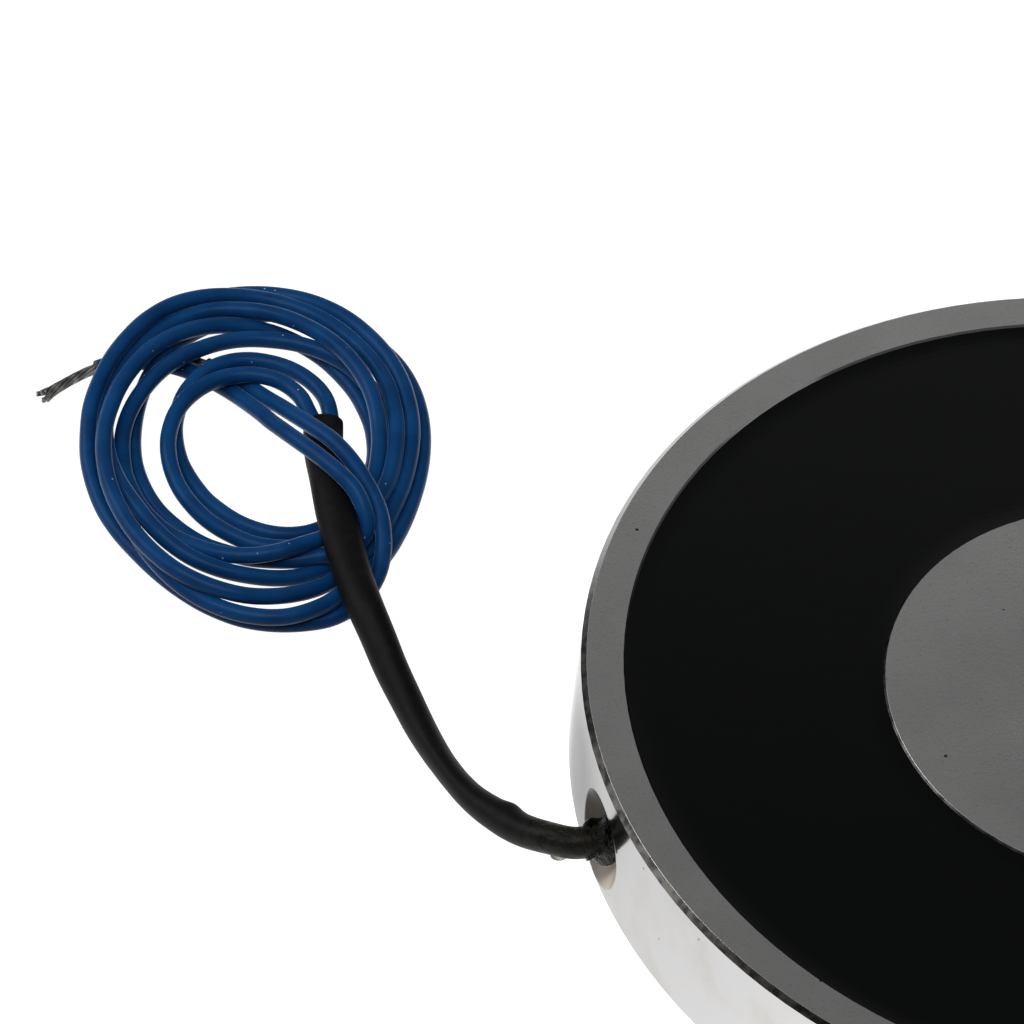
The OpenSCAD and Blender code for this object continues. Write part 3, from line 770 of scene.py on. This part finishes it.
# Painted reflections in the hole: dark above, as of the black sleeve, and pale on the lower part,
# as of the white table
rise = add_node(tree, "ShaderNodeVectorMath", {0: place, 1: PAINTED_REFLECTION_UP}, operation="DOT_PRODUCT")
low = add_node(tree, "ShaderNodeMapRange",
               {"Value": rise, "From Min": PALE_REFLECTION_END, "From Max": PALE_REFLECTION_FULL},
               interpolation_type="SMOOTHSTEP")
painted_pale = add_node(tree, "ShaderNodeMath", {0: hole, 1: low}, operation="MULTIPLY")
rim_shade_and_wear = layered(tree, linear(RIM_SHADE_LIGHT), (ragged, linear(RIM_SHADE_DARK)))
hole_painted_reflections = layered(tree, linear(HOLE_PAINTED_DARK_REFLECTION), (low, linear(HOLE_PAINTED_PALE_REFLECTION)))
plate = layered(tree, linear(PLATE), (stain, linear(PLATE_DULL)), (pits, linear(PIT_BROWN)),
                (shade_beside_hole, linear(SHADE_BESIDE_HOLE_GREY)), (shaded_worn, rim_shade_and_wear), (hole, hole_painted_reflections))
plate_rough = layered(tree, PLATE_ROUGH, (shade_beside_hole, SHADE_BESIDE_HOLE_ROUGH), (hole, HOLE_ROUGH),
                      (shaded_worn, RIM_SHADE_ROUGH), kind="FLOAT")
metallic = layered(tree, 1.0, (painted_pale, PALE_REFLECTION_METALLIC), kind="FLOAT")
# The shade beside the hole, the rim's shade in front and the pale part of the hole are painted
# light and shade
print("nickel plating: stains, pits, haze, worn rim, glue film")

# %% [markdown]
# ## Steel pot: ground faces
# Grinding leaves an even, slightly cloudy grey with a fine grain, faint scratches and a few
# dark marks. The scratches are noise that is drawn out in one direction. At the end, the mask
# of the ground faces joins both finishes, and the plating gets a slight wave.

# %% Ground faces
GROUND_DARK, GROUND_LIGHT, GRAIN_GREY, MARK_DARK = "cacac9", "d4d4d3", "a5a4a1", "3c3b3a"
GROUND_ROUGH, SCRATCH_ROUGH = 0.3, 0.315
# Turn of the scratches in radians, and how many times longer than wide they are
SCRATCH_TURN, SCRATCH_DRAWN = 0.6, 14
# Sizes of the plating's waves and of the ground grain, and the depth of both
WAVE_MM, GROUND_GRAIN_MM, STEEL_RELIEF_MM = 2.5, 0.18, 0.008
STEEL_DETAIL = 2.0
EDGE_GREY = "ececec"


def dress(name, material):
    """Give a CAD node's object one material."""
    slots = NODES[name].data.materials
    slots.clear()
    slots.append(material)


cloud = patches(tree, place, size_mm=9.0, low=0.3, high=0.7)
dark_grain = patches(tree, place, GROUND_GRAIN_MM, low=0.6, high=0.85, detail=STEEL_DETAIL)
marks = specks(tree, place, apart_mm=2.2, size_mm=0.34, share=0.3)
face = layered(tree, linear(GROUND_DARK), (cloud, linear(GROUND_LIGHT)),
               (dark_grain, linear(GRAIN_GREY)), (marks, linear(MARK_DARK)))
drawn = add_node(tree, "ShaderNodeMapping",
                 {"Vector": place, "Rotation": (0, 0, SCRATCH_TURN),
                  "Scale": (1, SCRATCH_DRAWN, 1)})
scratch = patches(tree, drawn, size_mm=5.0, low=0.62, high=0.7, detail=4.0)
face_rough = layered(tree, GROUND_ROUGH, (scratch, SCRATCH_ROUGH), kind="FLOAT")
waves, grain = [
    add_node(tree, "ShaderNodeTexNoise",
             {"Vector": place, "Scale": 1 / (size * MM), "Detail": STEEL_DETAIL})
    for size in (WAVE_MM, GROUND_GRAIN_MM)]
height = layered(tree, waves, (ground, grain), kind="FLOAT")
feed(shader, {
    "Base Color": layered(tree, plate, (ground, face)),
    "Roughness": layered(tree, plate_rough, (ground, face_rough), kind="FLOAT"),
    "Metallic": metallic,
    "Specular Tint": linear(EDGE_GREY),
    "Normal": add_node(tree, "ShaderNodeBump",
                       {"Height": height, "Distance": STEEL_RELIEF_MM * MM}),
})
dress("pot", steel)
print("made", steel.name)

# %% [markdown]
# ## Potting resin
# Black epoxy, poured level: nearly no body colour, a satin skin that mirrors the dim room,
# and a few specks of dust.

# %% Resin finish
RESIN_BLACK, RESIN_DUST = "040506", "3a3c3e"

resin, tree, shader, place = new_finish("black_potting_epoxy_satin", RESIN_BLACK, 0.2)
dust = specks(tree, place, apart_mm=4.5, size_mm=0.22, share=0.25)
feed(shader, {
    "Base Color": layered(tree, linear(RESIN_BLACK), (dust, linear(RESIN_DUST))),
    "Specular IOR Level": 0.21,
})
uneven(tree, shader, place, size_mm=4.0, depth_mm=0.01, detail=2.0)
dress("potting", resin)
print("made", resin.name)

# %% [markdown]
# ## Pieces inside
# Nobody sees these in the finished magnet, but someone who takes it apart does, so each gets
# its own finish: an ivory nylon bobbin, a winding whose turns show as fine ridges, amber
# tape, enamelled wire, dull solder and black sleeves over the joints. Most of them are a
# plain colour with a slightly uneven surface, so a table holds them. The solids that pieces
# of this scene take the place of are dressed here too.

# %% Inner finishes
# Name, colour, roughness, metallic, and the size and depth of the unevenness in millimetres
PLAIN_FINISHES = [
    ("ivory_nylon_moulded", "e6e0c8", 0.45, 0.0, 0.6, 0.01),
    ("enamelled_copper_wire", "9a4a26", 0.28, 0.9, 0.8, 0.01),
    ("amber_polyester_tape", "b88a2a", 0.25, 0.0, 1.5, 0.02),
    ("tin_solder_dull", "a9a9ab", 0.4, 0.9, 0.5, 0.03),
]
# Size of the wave pattern, which has about three ridges in it: coarser than real turns, so
# that they show
TURNS_MM, RIDGE_MM = 2.6, 0.1

plain = []
for name, code, roughness, metal, size_mm, depth_mm in PLAIN_FINISHES:
    material, tree, shader, place = new_finish(name, code, roughness, metal)
    uneven(tree, shader, place, size_mm, depth_mm)
    plain.append(material)
nylon, wire, amber, tin = plain

copper, tree, shader, place = new_finish("enamelled_copper_turns", "a4512a", 0.3, 0.9)
turns = add_node(tree, "ShaderNodeTexWave", {"Vector": place, "Scale": 1 / (TURNS_MM * MM)},
                 bands_direction="Z").outputs["Fac"]
feed(shader, {"Normal": add_node(tree, "ShaderNodeBump",
                                 {"Height": turns, "Distance": RIDGE_MM * MM})})

FINISH_OF = {
    "bobbin": nylon, "winding": copper, "winding_tape": amber, "start_wire": wire,
    "finish_wire": wire, "start_solder": tin, "finish_solder": tin, "start_cover": tubing,
    "finish_cover": tubing, "start_lead_tail": insulation, "finish_lead_tail": insulation,
    "exit_glue": black_glue, "lead_sleeve": tubing, "lead_coil": insulation,
    "bare_end": strand_metal,
}
for name, material in FINISH_OF.items():
    dress(name, material)
print("inner finishes:", len(FINISH_OF), "nodes")

# %% [markdown]
# ## Light table
# The photograph has a pure white ground with no shadow: the table itself is lit from below,
# like a light table. Its glow is weaker on the left of the pot than in front of it: a painted
# shadow on the table, which shows only in the nickel side. The table shows in the nickel side
# and in thin lines along the leads, but it is kept out of the diffuse light, because the
# flanks of the leads are dark in the photograph.

# %% Light table
TABLE_HALF = 1.5
TABLE_GREY, TABLE_ROUGH = "8a8a8a", 0.9
# Direction in which the glow grows, and where along it in metres it begins and ends to grow
GLOW_TOWARD = (0.4, -0.9, 0.0)
GLOW_FROM, GLOW_TO = -0.028, 0.012
# The weaker glow on the left is a painted shadow on the table, seen in the nickel side
GLOW_LEFT_SHADOWED, GLOW_FRONT = 1.0, 1.45

table_mesh = bpy.data.meshes.new("light_table")
corners = [(x * TABLE_HALF, y * TABLE_HALF, 0) for x, y in ((-1, -1), (1, -1), (1, 1), (-1, 1))]
table_mesh.from_pydata(corners, [], [(0, 1, 2, 3)])
table = add_object("light_table", table_mesh)
white, tree, shader, place = new_finish("white_light_table", TABLE_GREY, TABLE_ROUGH)
along = add_node(tree, "ShaderNodeVectorMath", {0: place, 1: GLOW_TOWARD}, operation="DOT_PRODUCT")
glow_with_painted_shadow = add_node(tree, "ShaderNodeMapRange",
                {"Value": along, "From Min": GLOW_FROM, "From Max": GLOW_TO,
                 "To Min": GLOW_LEFT_SHADOWED, "To Max": GLOW_FRONT})
feed(shader, {"Emission Color": (1, 1, 1, 1), "Emission Strength": glow_with_painted_shadow})
table_mesh.materials.append(white)
table.visible_diffuse = False
print("light table made")

# %% [markdown]
# ## Room and lights
# The room above is dim, so the upward faces stay grey and the resin stays black. Soft lights
# from above and from the left, and a weak one from the right, give the blue insulation its
# colour and leave the lower turns of the coil in the shade of the upper ones. A dim panel
# low behind the pot shows in the ground faces alone: it makes the ring lighter at the back
# than at the front, as in the photograph.

# %% Room and lights
ROOM = 0.1
LIGHT_SIZE = 0.5
# Name, place, what it is aimed at, and watts of each light
LIGHTS = [
    ("soft_top", (-0.25, -0.15, 0.75), (-0.03, 0.02, 0), 3.0),
    ("soft_right", (0.56, -0.12, 0.49), (-0.05, 0.04, 0), 0.2),
    ("soft_left", (-0.555, 0.33, 0.43), (-0.03, 0.02, 0), 2.2),
    ("dim_panel_behind", (0.224, 0.634, 0.355), (-0.03, 0.02, 0), 0.21),
]

world = bpy.data.worlds.new("dim_room")
world.use_nodes = True
feed(world.node_tree.nodes["Background"], {"Color": (ROOM, ROOM, ROOM, 1)})
bpy.context.scene.world = world

for name, at, aim, watts in LIGHTS:
    lamp = bpy.data.lights.new(name, "AREA")
    lamp.size = LIGHT_SIZE
    lamp.energy = watts
    light = add_object(name, lamp)
    light.location = at
    light.rotation_euler = (Vector(aim) - Vector(at)).to_track_quat("-Z", "Y").to_euler()
bpy.context.scene.view_settings.view_transform = "Standard"
print("room and", len(LIGHTS), "lights made")
